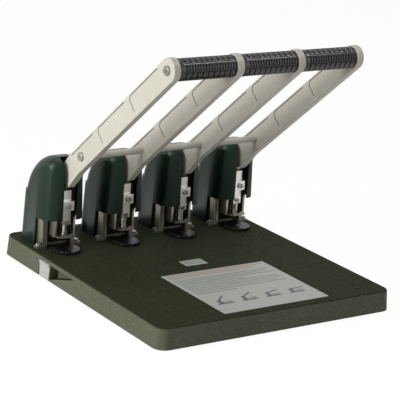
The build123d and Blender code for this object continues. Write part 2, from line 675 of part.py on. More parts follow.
def rod_screws():
    end = HEADS[-1] + ARM_THICK / 2
    big = END_SCREW_HEAD
    half = SLOT_WIDTH / 2
    screws = []
    for radius, reach in ((ROD_RADIUS, 0), (TIE_RADIUS, TIE_REACH)):
        y, z = along_arm(reach)
        face = end + END_SCREW_THICK
        head = rod_x(big, end, face, y, z)
        head = fillet(head.edges().group_by(Axis.X)[-1], END_SCREW_THICK / 3)
        head -= box(face - SLOT_SINK, face + EPS, y - big, y + big, z - half, z + half)
        screw = head + rod_x(radius * END_SCREW_SHARE, end - END_SCREW_GRIP, end, y, z)
        screws += [screw, mirror(screw, about=Plane.YZ)]
    return screws


def between_arms(index):
    # The clear span between two neighbouring arms.
    return HEADS[index] + ARM_THICK / 2, HEADS[index + 1] - ARM_THICK / 2


def tie_spacers():
    spacers = []
    y, z = along_arm(TIE_REACH)
    for i in range(HEAD_COUNT - 1):
        x0, x1 = between_arms(i)
        spacers.append(rod_x(SPACER_RADIUS, x0, x1, y, z) - rod_x(TIE_RADIUS, x0 - EPS, x1 + EPS, y, z))
    return spacers


def grip(index):
    # Rubber sleeve with a smooth collar at its left end and ring grooves between its ribbed bands.
    x0, x1 = between_arms(index)
    y, z = along_arm(0)
    sleeve = rod_x(GRIP_RADIUS, x0, x1, y, z)
    sleeve = fillet(sleeve.edges(), GRIP_GROOVE)
    band = (x1 - x0 - GRIP_COLLAR) / GRIP_BANDS
    ring = rod_x(GRIP_RADIUS + EPS, 0, GRIP_GROOVE, y, z)
    ring -= rod_x(GRIP_RADIUS - GRIP_GROOVE_SINK, -EPS, GRIP_GROOVE + EPS, y, z)
    for i in range(GRIP_BANDS):
        sleeve -= Pos(x0 + GRIP_COLLAR + i * band, 0, 0) * ring
    return sleeve - rod_x(ROD_RADIUS, x0 - EPS, x1 + EPS, y, z)


def write(name, shape):
    if isinstance(shape, list):
        shape = Compound(children=[piece.solid() for piece in shape])
    export_step(shape, f"parts/{name}.step")


def main():
    os.makedirs("parts", exist_ok=True)
    write("base_shell", base_shell())
    write("base_floor", base_floor())
    write("floor_screws", floor_screws())
    write("rubber_feet", rubber_feet())
    write("paper_bar", paper_bar())
    write("paper_stop", paper_stop())
    write("disc_pins", disc_pins())
    write("frame_screws", frame_screws())
    write("cover_screws", cover_screws())
    write("pivot_pins", pivot_pins())
    write("guide_bolts", guide_bolts())
    write("press_pads", press_pads())
    write("stripper_plates", [Pos(x, 0, 0) * stripper_plate() for x in HEADS])
    write("handle_rod", end_rod(ROD_RADIUS, 0))
    write("tie_rod", end_rod(TIE_RADIUS, TIE_REACH))
    write("tie_spacers", tie_spacers())
    write("rod_screws", rod_screws())
    for i in range(HEAD_COUNT - 1):
        write(f"grip_{i + 1}", grip(i))
    per_head = {
        "head_frame": head_frame(),
        "punch_guide": punch_guide(),
        "head_cover": head_cover(),
        "return_spring": return_spring(),
        "cutting_disc": cutting_disc(),
        "ram": ram(),
        "clamp_plate": clamp_plate(),
        "punch_pin": punch_pin(),
        "lever_arm": lever_arm(),
    }
    for i, x in enumerate(HEADS):
        for name, shape in per_head.items():
            write(f"{name}_{i + 1}", Pos(x, 0, 0) * shape)
        write(f"ram_screws_{i + 1}", [Pos(x, 0, 0) * screw for screw in ram_screws()])
    print("spring gap", round(spring_gap(), 2), "mm")
    print("pivot", round(PIVOT_Y, 3), round(PIVOT_Z, 3))


main()
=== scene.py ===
import math
import bpy
from mathutils import Matrix, Vector


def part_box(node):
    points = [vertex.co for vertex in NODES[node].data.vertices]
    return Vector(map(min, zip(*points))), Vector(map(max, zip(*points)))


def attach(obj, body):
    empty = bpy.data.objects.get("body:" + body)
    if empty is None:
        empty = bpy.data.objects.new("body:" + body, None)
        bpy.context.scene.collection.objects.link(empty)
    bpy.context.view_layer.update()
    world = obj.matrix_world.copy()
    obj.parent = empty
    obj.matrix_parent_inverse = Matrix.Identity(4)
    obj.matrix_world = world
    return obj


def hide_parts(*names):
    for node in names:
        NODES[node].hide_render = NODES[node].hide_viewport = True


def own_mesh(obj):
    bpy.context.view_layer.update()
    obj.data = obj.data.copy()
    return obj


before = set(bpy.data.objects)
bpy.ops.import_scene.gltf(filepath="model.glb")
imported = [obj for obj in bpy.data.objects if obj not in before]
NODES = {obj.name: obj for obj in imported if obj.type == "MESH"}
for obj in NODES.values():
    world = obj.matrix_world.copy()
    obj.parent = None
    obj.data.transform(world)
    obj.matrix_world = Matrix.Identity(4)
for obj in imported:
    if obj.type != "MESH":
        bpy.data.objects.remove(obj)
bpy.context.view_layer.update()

MM = 0.001

# Driving sizes of the object, in millimetres
HEADS = [-120.0, -40.0, 40.0, 120.0]
DECK_Z = 25.0
GRIP_Y = -103.0
GRIP_Z = 279.5
ARM_ANGLE = math.radians(40.0)
ARM_THICK = 8.4
GRIP_RADIUS = 12.0
ROD_RADIUS = 4.0

# How the sides of a cover turn into its front
COVER_EDGE = 0.35
COVER_CORNER = 14.0
COVER_BOW = 34.0
COVER_STRIPS = 8
COVER_TURN = math.radians(28.0)
COVER_EASE = 1.5
COVER_REAR_FACING = 0.02

# Sunk lines of the arms
CREASE_REACH = [82.0, 160.0]
CREASE_LOW = -6.5
CREASE_TURN = 7.5
CREASE_LEAN = 1.7
CREASE_ROUND = 4.0
LINE_ACROSS = 10.6
LINE_LENGTH = 62.0
FOOT_LINE = [(172.0, LINE_ACROSS), (226.0, LINE_ACROSS)]
GROOVE_WIDE = 1.1
GROOVE_DEEP = 0.7

# Grips: a plain collar, a tread of ribs and blocks, and a bead at the far end
GRIP_SEGMENTS = 64
GRIP_ROWS = 8
GRIP_FACE = 10.9
GRIP_EDGE = 0.4
GRIP_EDGE_RADIUS = 11.6
GRIP_SHOULDER = 1.2
GRIP_COLLAR = 7.5
GRIP_COLLAR_FALL = 0.6
GRIP_CORE = 10.9
GRIP_RIBS = 18
GRIP_GAP = 1.0
GRIP_RAISE = 1.0
GRIP_BLOCK_SLOPE = 0.28
GRIP_SMOOTH_ANGLE = 38.0
BEAD = 1.6
BEAD_RISE = 0.2
BEAD_FALL = 0.5
BEAD_RADIUS = GRIP_RADIUS - 0.2
BEAD_FACE = 11.2

# Label plates on the deck and their print
SHEET = 0.35
SHEET_SINK = 0.05
SHEET_EDGE = 0.12
INK = 0.08
INK_EDGE = 0.03
LABEL_X = 4.0
LABEL_Y = -94.5
LABEL_WIDE = 140.0
LABEL_DEEP = 125.0
HEADER_ENDS = [134.0, 118.0]
HEADER_LEFT = 4.0
HEADER_TOP = 4.0
HEADER_TALL = 3.0
HEADER_STEP = 6.0
RULE_ENDS = [132.0, 126.0, 134.0, 88.0, 130.0, 134.0, 122.0, 131.0, 60.0]
RULE_LEFT = 5.0
RULE_TOP = 21.0
RULE_STEP = 5.4
RULE_HALF = 1.0
SKETCH_LEANS = [55.0, 40.0, 20.0, 5.0]
SKETCH_LEFT = 20.0
SKETCH_STEP = 32.0
SKETCH_DROP = 90.0
SKETCH_BASE = (-10.0, -9.0, 10.0, -9.0)
SKETCH_BASE_THICK = 3.0
SKETCH_POST = (-4.0, -8.0, -4.0, 1.0)
SKETCH_POST_THICK = 5.0
SKETCH_LEVER = 15.0
SKETCH_LEVER_ROOT = -4.0
SKETCH_LEVER_THICK = 2.2
SKETCH_PAPER = (1.0, -5.0, 11.0, -5.0)
SKETCH_PAPER_THICK = 1.2
SMALL_LABEL_X = -4.0
SMALL_LABEL_Y = -5.0
SMALL_LABEL_WIDE = 29.0
SMALL_LABEL_DEEP = 17.0
SMALL_RULES = (-8.5, -5.0, -1.5)
SMALL_RULE_LEFT = -15.0
SMALL_RULE_RIGHT = 7.0
SMALL_RULE_HALF = 0.8

# The studio, in metres and shares of white
FLOOR_SIDE = 12.0
FLOOR_GREY = 0.86
FLOOR_GLOW = 1.02
FLOOR_GLOW_SHARE = 0.94
WORLD_LIGHT = 0.21
PART_MIDDLE = (0.0, 0.0, 0.1)
FIRST_COVER = (-0.12, 0.12, 0.1)
HANDLE_FRONT = (0.0, -0.1, 0.28)

# The camera of the photograph: its three directions, its place, and its lens on a 36 mm frame
CAMERA_RIGHT = Vector((0.82574661, -0.55919517, 0.07377877))
CAMERA_UP = Vector((0.10320927, 0.2783938, 0.95490562))
CAMERA_BACK = Vector((-0.55451816, -0.78089542, 0.28759686))
CAMERA_SPOT = Vector((-1.0693, -1.5085, 0.6535))
CAMERA_LENS = 152.9
CAMERA_FRAME = 36.0


# Working helpers

def rest_all():
    if bpy.context.object and bpy.context.object.mode != "OBJECT":
        bpy.ops.object.mode_set(mode="OBJECT")
    bpy.ops.object.select_all(action="DESELECT")


def take(obj):
    rest_all()
    obj.select_set(True)
    bpy.context.view_layer.objects.active = obj


def into_edit(obj, mode="FACE"):
    take(obj)
    bpy.ops.object.mode_set(mode="EDIT")
    bpy.ops.mesh.select_mode(type=mode)


def pick_faces(obj, test):
    into_edit(obj)
    bpy.ops.mesh.select_all(action="DESELECT")
    bpy.ops.object.mode_set(mode="OBJECT")
    for face in obj.data.polygons:
        face.select = test(face)
    bpy.ops.object.mode_set(mode="EDIT")


def settle(obj):
    # The piece's place goes into its mesh, so that the object sits at the origin.
    take(obj)
    bpy.ops.object.transform_apply(location=True, rotation=True, scale=True)


def soften(obj, width, segments=2, angle=35.0):
    take(obj)
    bevel = obj.modifiers.new("soft_edges", "BEVEL")
    bevel.width = width * MM
    bevel.segments = segments
    bevel.limit_method = "ANGLE"
    bevel.angle_limit = math.radians(angle)
    bpy.ops.object.modifier_apply(modifier=bevel.name)


def smooth(obj, angle=32.0):
    take(obj)
    bpy.ops.object.shade_smooth_by_angle(angle=math.radians(angle))


def even_shading(obj):
    # Large flat faces keep their own normals, so that roundings shade cleanly beside them.
    take(obj)
    weights = obj.modifiers.new("even_shading", "WEIGHTED_NORMAL")
    weights.keep_sharp = True
    bpy.ops.object.modifier_apply(modifier=weights.name)


def dress(obj, material):
    obj.data.materials.clear()
    obj.data.materials.append(material)


def place(obj, body, stands_for=()):
    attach(obj, body)
    if stands_for:
        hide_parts(*stands_for)


def block(name, low, high, edge=0.0):
    # A straight-edged piece between two corners, with softened edges.
    rest_all()
    middle = [(a + b) / 2 * MM for a, b in zip(low, high)]
    size = [(b - a) * MM for a, b in zip(low, high)]
    bpy.ops.mesh.primitive_cube_add(size=1.0, location=middle)
    obj = bpy.context.object
    obj.name = name
    obj.scale = size
    settle(obj)
    if edge:
        soften(obj, edge)
    return obj


def clean_copy(node, name, edge=0.0, angle=32.0):
    # A smooth-shaded copy of a solid, with its loose triangles joined.
    mesh = NODES[node].data.copy()
    obj = bpy.data.objects.new(name, mesh)
    bpy.context.scene.collection.objects.link(obj)
    into_edit(obj)
    bpy.ops.mesh.select_all(action="SELECT")
    bpy.ops.mesh.remove_doubles(threshold=1e-6)
    bpy.ops.mesh.dissolve_limited(angle_limit=math.radians(0.5))
    bpy.ops.object.mode_set(mode="OBJECT")
    if mesh.has_custom_normals:
        bpy.ops.mesh.customdata_custom_splitnormals_clear()
    if edge:
        soften(obj, edge)
    smooth(obj, angle)
    even_shading(obj)
    return obj


def copied_to(obj, name, shift):
    mesh = obj.data.copy()
    mesh.transform(Matrix.Translation(Vector(shift) * MM))
    twin = bpy.data.objects.new(name, mesh)
    bpy.context.scene.collection.objects.link(twin)
    return twin


def dress_copy(node, body, material, edge=0.0, angle=32.0):
    obj = clean_copy(node, node + "_look", edge, angle)
    dress(obj, material)
    place(obj, body, [node])
    return obj


# Materials

def linear(colour):
    return [((c / 255 + 0.055) / 1.055) ** 2.4 if c > 10.3 else c / 255 / 12.92 for c in colour] + [1.0]


class Finish:
    """One material with its node tree, laid over the piece by its own Object coordinates."""

    def __init__(self, name):
        self.material = bpy.data.materials.new(name)
        self.material.use_nodes = True
        self.tree = self.material.node_tree
        self.shader = self.tree.nodes["Principled BSDF"]
        self.coords = self.tree.nodes.new("ShaderNodeTexCoord").outputs["Object"]

    def join(self, source, target):
        self.tree.links.new(source, target)

    def stretched(self, scale):
        mapping = self.tree.nodes.new("ShaderNodeMapping")
        mapping.inputs["Scale"].default_value = scale
        self.join(self.coords, mapping.inputs["Vector"])
        return mapping.outputs["Vector"]

    def noise(self, scale, detail=4.0, rough=0.55, coords=None):
        node = self.tree.nodes.new("ShaderNodeTexNoise")
        node.inputs["Scale"].default_value = scale
        node.inputs["Detail"].default_value = detail
        node.inputs["Roughness"].default_value = rough
        self.join(coords or self.coords, node.inputs["Vector"])
        return node.outputs["Fac"]

    def uprightness(self):
        # 1 where the surface faces straight up, 0 on upright walls.
        surface = self.tree.nodes.new("ShaderNodeTexCoord")
        parts = self.tree.nodes.new("ShaderNodeSeparateXYZ")
        self.join(surface.outputs["Normal"], parts.inputs["Vector"])
        return parts.outputs["Z"]

    def spread(self, source, low, high, out_low=0.0, out_high=1.0):
        node = self.tree.nodes.new("ShaderNodeMapRange")
        node.inputs["From Min"].default_value = low
        node.inputs["From Max"].default_value = high
        node.inputs["To Min"].default_value = out_low
        node.inputs["To Max"].default_value = out_high
        self.join(source, node.inputs["Value"])
        return node.outputs["Result"]

    def mix(self, factor, first, second):
        node = self.tree.nodes.new("ShaderNodeMix")
        node.data_type = "RGBA"
        self.join(factor, node.inputs["Factor"])
        for value, socket in ((first, node.inputs["A"]), (second, node.inputs["B"])):
            if isinstance(value, list):
                socket.default_value = value
            else:
                self.join(value, socket)
        return node.outputs["Result"]

    def colour(self, source):
        self.join(source, self.shader.inputs["Base Color"])

    def roughness(self, source):
        self.join(source, self.shader.inputs["Roughness"])

    def relief(self, height, distance, strength=1.0):
        node = self.tree.nodes.new("ShaderNodeBump")
        node.inputs["Distance"].default_value = distance * MM
        node.inputs["Strength"].default_value = strength
        self.join(height, node.inputs["Height"])
        self.join(node.outputs["Normal"], self.shader.inputs["Normal"])

    def set(self, **values):
        for key, value in values.items():
            self.shader.inputs[key.replace("_", " ")].default_value = value


def speckled_olive():
    # Matt olive-black moulding with lighter flecks; its upright walls are painted paler than the deck, a
    # painted light for the side light that falls on them.
    f = Finish("speckled_olive")
    grains = f.spread(f.noise(1500.0, 2.0, 0.6), 0.48, 0.68)
    flecks = f.spread(f.noise(520.0, 3.0, 0.7), 0.50, 0.70)
    deck = f.mix(f.noise(14.0, 3.0), linear((25, 29, 18)), linear((36, 40, 27)))
    deck = f.mix(flecks, deck, linear((60, 64, 46)))
    # Painted light: the upright walls get a paler colour than the deck, as if lit from the side.
    painted_lit_wall = f.mix(f.noise(9.0, 3.0), linear((82, 84, 70)), linear((104, 105, 92)))
    painted_lit_wall = f.mix(flecks, painted_lit_wall, linear((114, 115, 100)))
    body = f.mix(f.spread(f.uprightness(), 0.15, 0.75), painted_lit_wall, deck)
    f.colour(f.mix(grains, body, linear((64, 68, 48))))
    f.roughness(f.spread(f.noise(220.0), 0.3, 0.7, 0.58, 0.74))
    f.relief(f.noise(1300.0, 3.0, 0.6), 0.12)
    f.set(Specular_IOR_Level=0.03)
    return f.material


def cover_green_black():
    # Half-gloss moulded cover, nearly black with a green cast.
    f = Finish("cover_green_black")
    body = f.mix(f.noise(22.0, 3.0), linear((8, 24, 14)), linear((15, 32, 21)))
    smudge = f.spread(f.noise(60.0, 5.0, 0.65), 0.52, 0.72)
    f.colour(f.mix(smudge, body, linear((20, 38, 27))))
    f.roughness(f.spread(f.noise(90.0, 5.0), 0.3, 0.7, 0.31, 0.39))
    f.relief(f.noise(420.0, 2.0), 0.05)
    f.set(Specular_IOR_Level=0.28, Specular_Tint=(0.72, 0.93, 0.80, 1.0))
    return f.material


def arm_paint():
    # Satin warm grey paint with faint handling marks.
    f = Finish("arm_paint")
    body = f.mix(f.noise(18.0, 4.0), linear((180, 177, 164)), linear((191, 188, 176)))
    marks = f.spread(f.noise(70.0, 6.0, 0.7), 0.60, 0.80)
    f.colour(f.mix(marks, body, linear((174, 171, 158))))
    f.roughness(f.spread(f.noise(110.0, 4.0), 0.3, 0.7, 0.36, 0.52))
    f.relief(f.noise(520.0, 3.0), 0.05)
    f.set(Specular_IOR_Level=0.4)
    return f.material


def rubber_black(name, dark, light, rough_low, rough_high):
    f = Finish(name)
    dust = f.spread(f.noise(160.0, 5.0, 0.7), 0.45, 0.75)
    f.colour(f.mix(dust, linear(dark), linear(light)))
    f.roughness(f.spread(f.noise(240.0, 4.0), 0.3, 0.7, rough_low, rough_high))
    f.relief(f.noise(1400.0, 3.0), 0.06)
    f.set(Specular_IOR_Level=0.5)
    return f.material


def metal(name, light, dark, rough_low, rough_high, stretch, scratch=0.03):
    # Plated or ground steel, drawn along one direction.
    f = Finish(name)
    drawn = f.stretched(stretch)
    streaks = f.noise(60.0, 6.0, 0.7, drawn)
    f.colour(f.mix(f.spread(streaks, 0.35, 0.70), linear(light), linear(dark)))
    f.roughness(f.spread(f.noise(90.0, 5.0), 0.3, 0.7, rough_low, rough_high))
    f.relief(f.noise(120.0, 4.0, 0.6, drawn), scratch)
    f.set(Metallic=1.0)
    return f.material


def gloss_black():
    f = Finish("disc_gloss_black")
    scuffs = f.spread(f.noise(180.0, 6.0, 0.7), 0.58, 0.78)
    f.colour(f.mix(scuffs, linear((15, 17, 17)), linear((30, 32, 31))))
    f.roughness(f.spread(f.noise(150.0, 5.0), 0.3, 0.7, 0.26, 0.38))
    f.relief(f.noise(600.0, 2.0), 0.02)
    f.set(Specular_IOR_Level=0.22)
    return f.material


def pale_plastic(name, body, worn):
    f = Finish(name)
    wear = f.spread(f.noise(120.0, 6.0, 0.7), 0.55, 0.75)
    f.colour(f.mix(wear, linear(body), linear(worn)))
    f.roughness(f.spread(f.noise(160.0, 4.0), 0.3, 0.7, 0.40, 0.55))
    f.relief(f.noise(900.0, 3.0), 0.03)
    f.set(Specular_IOR_Level=0.4)
    return f.material


OLIVE = speckled_olive()
COVER = cover_green_black()
ARM = arm_paint()
GRIP = rubber_black("grip_rubber_black", (16, 18, 15), (34, 37, 31), 0.20, 0.32)
FOOT = rubber_black("foot_rubber_black", (26, 26, 26), (44, 44, 42), 0.60, 0.80)
NICKEL = metal("bright_nickel", (158, 154, 140), (114, 111, 99), 0.32, 0.46, (1.0, 1.0, 0.08))
RAM_NICKEL = metal("ram_nickel", (222, 220, 213), (186, 184, 176), 0.26, 0.38, (1.0, 1.0, 0.08))
GROUND = metal("ground_steel", (206, 204, 198), (160, 158, 154), 0.22, 0.36, (0.08, 1.0, 1.0))
TURNED = metal("turned_steel", (172, 168, 158), (122, 119, 112), 0.24, 0.38, (1.0, 1.0, 1.0))
WIRE = metal("drawn_wire", (176, 174, 170), (120, 118, 116), 0.26, 0.42, (1.0, 1.0, 1.0))
PLATE_BLACK = rubber_black("floor_plate_black", (24, 25, 24), (40, 41, 38), 0.45, 0.65)
DISC = gloss_black()
GUIDE_WHITE = pale_plastic("guide_white", (164, 165, 160), (146, 146, 140))
LABEL_WHITE = pale_plastic("label_white", (167, 170, 165), (153, 156, 151))
# Painted shade: a darker paint for the faces inside the arms' sunk lines, standing for the shade that
# falls in them.
GROOVE_PAINTED_SHADE = pale_plastic("groove_painted_shade", (96, 94, 86), (74, 72, 66))
LABEL_TAN = pale_plastic("label_tan", (172, 142, 122), (160, 136, 118))
LABEL_GREY = pale_plastic("label_grey", (128, 130, 127), (116, 118, 115))
LABEL_DARK = pale_plastic("label_dark", (84, 88, 90), (72, 76, 78))


# Base and its small parts

def base_pieces():
    dress_copy("base_shell", "base", OLIVE)
    dress_copy("rubber_feet", "base", FOOT, edge=0.3)
    dress(NODES["base_floor"], PLATE_BLACK)
    dress_copy("floor_screws", "base", TURNED)
    dress_copy("disc_pins", "base", TURNED, edge=0.25)
    dress_copy("frame_screws", "base", TURNED, edge=0.25)
    dress_copy("cover_screws", "base", TURNED, edge=0.25)
    dress_copy("pivot_pins", "base", GROUND)
    dress_copy("guide_bolts", "base", GROUND)
    dress_copy("stripper_plates", "base", NICKEL, edge=0.15)
    dress_copy("paper_bar", "paper_guide", GUIDE_WHITE, edge=0.2)
    dress_copy("paper_stop", "guide_stop", GUIDE_WHITE, edge=0.2)


# Heads

def cover_strips(obj, corner):
    # Upright strips behind the front corners, which carry the slow turn of the sides.
    into_edit(obj)
    for i in range(COVER_STRIPS + 1):
        at = corner + COVER_BOW * MM * i / COVER_STRIPS
        bpy.ops.mesh.select_all(action="SELECT")
        bpy.ops.mesh.bisect(plane_co=(0.0, at, 0.0), plane_no=(0.0, 1.0, 0.0))
    bpy.ops.object.mode_set(mode="OBJECT")


def bowed_normal(normal, spot, middle, corner):
    # The outer sides shade as if they bowed slowly into the front, as the moulded covers do.
    outside = (spot.x - middle) * normal.x > 0.0
    if not outside or normal.y > COVER_REAR_FACING:
        return normal
    turned = math.atan2(-normal.y, abs(normal.x))
    near = 1.0 - min(1.0, max(0.0, (spot.y - corner) / (COVER_BOW * MM)))
    turned += COVER_TURN * near ** COVER_EASE * (1.0 - turned / (math.pi / 2))
    flat = math.hypot(normal.x, normal.y)
    across = math.copysign(flat * math.cos(turned), normal.x)
    return Vector((across, -flat * math.sin(turned), normal.z))


def head_cover(i):
    node = f"head_cover_{i}"
    low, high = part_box(node)
    corner = low[1] + COVER_CORNER * MM
    middle = (low[0] + high[0]) / 2
    cover = clean_copy(node, node + "_look", COVER_EDGE)
    cover_strips(cover, corner)
    mesh = cover.data
    bowed = []
    for loop, found in zip(mesh.loops, mesh.corner_normals):
        spot = mesh.vertices[loop.vertex_index].co
        bowed.append(bowed_normal(Vector(found.vector), spot, middle, corner))
    mesh.normals_split_custom_set(bowed)
    dress(cover, COVER)
    place(cover, "base", [node])


def return_spring(i):
    # The spring stands on its stripper plate and gives way as the ram comes down; here it gets a mesh of
    # its own.
    node = f"return_spring_{i}"
    spring = dress_copy(node, "base", WIRE, angle=60.0)
    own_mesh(spring)


def head_pieces():
    for i in range(1, len(HEADS) + 1):
        dress_copy(f"head_frame_{i}", "base", NICKEL, edge=0.3)
        dress_copy(f"punch_guide_{i}", "base", NICKEL, edge=0.3)
        head_cover(i)
        return_spring(i)
        dress_copy(f"cutting_disc_{i}", f"disc_{i}", DISC, edge=0.2)
        dress_copy(f"ram_{i}", f"ram_{i}", RAM_NICKEL, edge=0.3)
        dress_copy(f"clamp_plate_{i}", f"ram_{i}", RAM_NICKEL, edge=0.4)
        dress_copy(f"punch_pin_{i}", f"ram_{i}", GROUND)
        dress_copy(f"ram_screws_{i}", f"ram_{i}", TURNED, edge=0.2)


# Lever

def arm_point(reach, across):
    # A place on an arm's side: reach down from the handle rod, across towards the upper edge.
    y = GRIP_Y + reach * math.cos(ARM_ANGLE) + across * math.sin(ARM_ANGLE)
    z = GRIP_Z - reach * math.sin(ARM_ANGLE) + across * math.cos(ARM_ANGLE)
    return y, z


def groove_runs():
    # Sunk lines of the pressed panels: a crease across the arm that turns along its upper edge.
    runs = []
    for reach in CREASE_REACH:
        turn = reach - CREASE_ROUND
        points = [(reach - CREASE_LEAN, CREASE_LOW), (reach, CREASE_TURN), (turn, LINE_ACROSS)]
        runs.append(points + [(turn - LINE_LENGTH, LINE_ACROSS)])
    return runs + [FOOT_LINE]


def groove_cutter(first, second, side):
    y0, z0 = arm_point(*first)
    y1, z1 = arm_point(*second)
    length = math.hypot(y1 - y0, z1 - z0) + GROOVE_WIDE
    rest_all()
    x = HEADS[0] + side * ARM_THICK / 2
    bpy.ops.mesh.primitive_cube_add(size=1.0, location=(x * MM, (y0 + y1) / 2 * MM, (z0 + z1) / 2 * MM))
    obj = bpy.context.object
    obj.scale = (2 * GROOVE_DEEP * MM, length * MM, GROOVE_WIDE * MM)
    obj.rotation_euler = (math.atan2(z1 - z0, y1 - y0), 0.0, 0.0)
    settle(obj)
    # The cutter carries the painted shade onto the walls of the groove it cuts.
    dress(obj, GROOVE_PAINTED_SHADE)
    return obj


def arm_pieces():
    arm = clean_copy("lever_arm_1", "lever_arm_1_look")
    dress(arm, ARM)
    for run in groove_runs():
        for first, second in zip(run, run[1:]):
            for side in (-1, 1):
                cutter = groove_cutter(first, second, side)
                take(arm)
                cut = arm.modifiers.new("groove", "BOOLEAN")
                cut.operation = "DIFFERENCE"
                cut.solver = "EXACT"
                cut.material_mode = "TRANSFER"
                cut.object = cutter
                bpy.ops.object.modifier_apply(modifier=cut.name)
                bpy.data.objects.remove(cutter)
    smooth(arm)
    even_shading(arm)
    arms = [arm]
    for i, x in enumerate(HEADS[1:]):
        arms.append(copied_to(arm, f"lever_arm_{i + 2}_look", (x - HEADS[0], 0.0, 0.0)))
    for i, obj in enumerate(arms):
        place(obj, "lever", [f"lever_arm_{i + 1}"])


def tread(x0, x1):
    # Where the ribs of a grip start, and the pitch from one to the next.
    start = x0 + GRIP_COLLAR + GRIP_GAP
    return start, (x1 - BEAD - start) / GRIP_RIBS


def grip_rings(x0, x1):
    # Stations along a sleeve, each with its radius: collar, ribs and the gaps between them, bead.
    rings = [(x0, ROD_RADIUS), (x0, GRIP_FACE), (x0 + GRIP_EDGE, GRIP_EDGE_RADIUS)]
    rings += [(x0 + GRIP_SHOULDER, GRIP_RADIUS), (x0 + GRIP_COLLAR - GRIP_COLLAR_FALL, GRIP_RADIUS)]
    rings.append((x0 + GRIP_COLLAR, GRIP_CORE))
    start, pitch = tread(x0, x1)
    for i in range(GRIP_RIBS):
        rings.append((start + i * pitch, GRIP_CORE))
        rings.append((start + (i + 1) * pitch - GRIP_GAP, GRIP_CORE))
    rings += [(x1 - BEAD, GRIP_CORE), (x1 - BEAD + BEAD_RISE, BEAD_RADIUS), (x1 - BEAD_FALL, BEAD_RADIUS)]
    return rings + [(x1, BEAD_FACE), (x1, ROD_RADIUS)]


def sleeve(name, rings):
    # A turned sleeve along the handle rod, drawn out from ring to ring.
    rest_all()
    spot = (rings[0][0] * MM, GRIP_Y * MM, GRIP_Z * MM)
    bpy.ops.mesh.primitive_circle_add(vertices=GRIP_SEGMENTS, radius=rings[0][1] * MM, location=spot,
                                      rotation=(0.0, math.radians(90.0), 0.0))
    obj = bpy.context.object
    obj.name = name
    settle(obj)
    into_edit(obj, "EDGE")
    bpy.ops.mesh.select_all(action="SELECT")
    for (xa, ra), (xb, rb) in zip(rings, rings[1:]):
        bpy.ops.mesh.extrude_edges_move(TRANSFORM_OT_translate={"value": ((xb - xa) * MM, 0.0, 0.0)})
        ratio = rb / ra
        centre = (xb * MM, GRIP_Y * MM, GRIP_Z * MM)
        bpy.ops.transform.resize(value=(1.0, ratio, ratio), center_override=centre)
    bpy.ops.mesh.select_all(action="SELECT")
    bpy.ops.mesh.normals_make_consistent(inside=False)
    bpy.ops.object.mode_set(mode="OBJECT")
    return obj


def grip_piece(index):
    x0 = HEADS[index] + ARM_THICK / 2
    x1 = HEADS[index + 1] - ARM_THICK / 2
    obj = sleeve(f"grip_{index + 1}_look", grip_rings(x0, x1))
    start, pitch = tread(x0, x1)
    row = GRIP_SEGMENTS // GRIP_ROWS

    def raised(face):
        # Rows of single ribs take turns with rows whose ribs are joined in pairs.
        x = face.center.x / MM
        if x < start or x > x1 - BEAD - GRIP_GAP:
            return False
        turn = math.atan2(face.center.z - GRIP_Z * MM, face.center.y - GRIP_Y * MM) / (2 * math.pi) % 1.0
        segment = int(turn * GRIP_SEGMENTS)
        if segment % row == 0:
            return False
        rib, rest = divmod(x - start, pitch)
        in_gap = rest > pitch - GRIP_GAP
        fine_row = (segment // row) % 2 == 1
        return not in_gap or (not fine_row and int(rib) % 2 == 0)

    pick_faces(obj, raised)
    bpy.ops.mesh.inset(thickness=GRIP_BLOCK_SLOPE * MM, depth=GRIP_RAISE * MM, use_even_offset=True)
    bpy.ops.object.mode_set(mode="OBJECT")
    smooth(obj, GRIP_SMOOTH_ANGLE)
    dress(obj, GRIP)
    place(obj, "lever", [f"grip_{index + 1}"])


def lever_pieces():
    arm_pieces()
    for i in range(len(HEADS) - 1):
        grip_piece(i)
    dress_copy("handle_rod", "lever", GROUND)
    dress_copy("tie_rod", "lever", GROUND)
    dress_copy("tie_spacers", "lever", ARM, edge=0.3)
    dress_copy("press_pads", "lever", GROUND)
    dress_copy("rod_screws", "lever", TURNED, edge=0.2)


# Label plates

def ink(name, x0, x1, y0, y1, material):
    top = DECK_Z + SHEET
    obj = block(name, (x0, y0, top - INK), (x1, y1, top + INK), INK_EDGE)
    dress(obj, material)
    place(obj, "base")


def sheet_plate(name, x, y, wide, deep):
    low = (x - wide / 2, y - deep / 2, DECK_Z - SHEET_SINK)
    obj = block(name, low, (x + wide / 2, y + deep / 2, DECK_Z + SHEET), SHEET_EDGE)
    dress(obj, LABEL_WHITE)
    place(obj, "base")


def stroke(x, y, ends, thick):
    # One straight printed stroke, its two ends given from a place on the label.
    x0, y0, x1, y1 = ends
    rest_all()
    spot = ((x + (x0 + x1) / 2) * MM, (y + (y0 + y1) / 2) * MM, (DECK_Z + SHEET) * MM)
    bpy.ops.mesh.primitive_cube_add(size=1.0, location=spot)
    obj = bpy.context.object
    obj.scale = (math.hypot(x1 - x0, y1 - y0) * MM, thick * MM, 2 * INK * MM)
    obj.rotation_euler = (0.0, 0.0, math.atan2(y1 - y0, x1 - x0))
    settle(obj)
    return obj


def sketch(name, x, y, lean):
    # A plain sketch of the punch from its side: base, post, lever at some lean, and a sheet of paper.
    lever = (SKETCH_LEVER_ROOT, 0.0, SKETCH_LEVER * math.cos(lean), SKETCH_LEVER * math.sin(lean))
    strokes = [
        stroke(x, y, SKETCH_BASE, SKETCH_BASE_THICK),
        stroke(x, y, SKETCH_POST, SKETCH_POST_THICK),
        stroke(x, y, lever, SKETCH_LEVER_THICK),
        stroke(x, y, SKETCH_PAPER, SKETCH_PAPER_THICK),
    ]
    rest_all()
    for obj in strokes:
        obj.select_set(True)
    bpy.context.view_layer.objects.active = strokes[0]
    bpy.ops.object.join()
    drawn = bpy.context.object
    drawn.name = name
    dress(drawn, LABEL_DARK)
    place(drawn, "base")


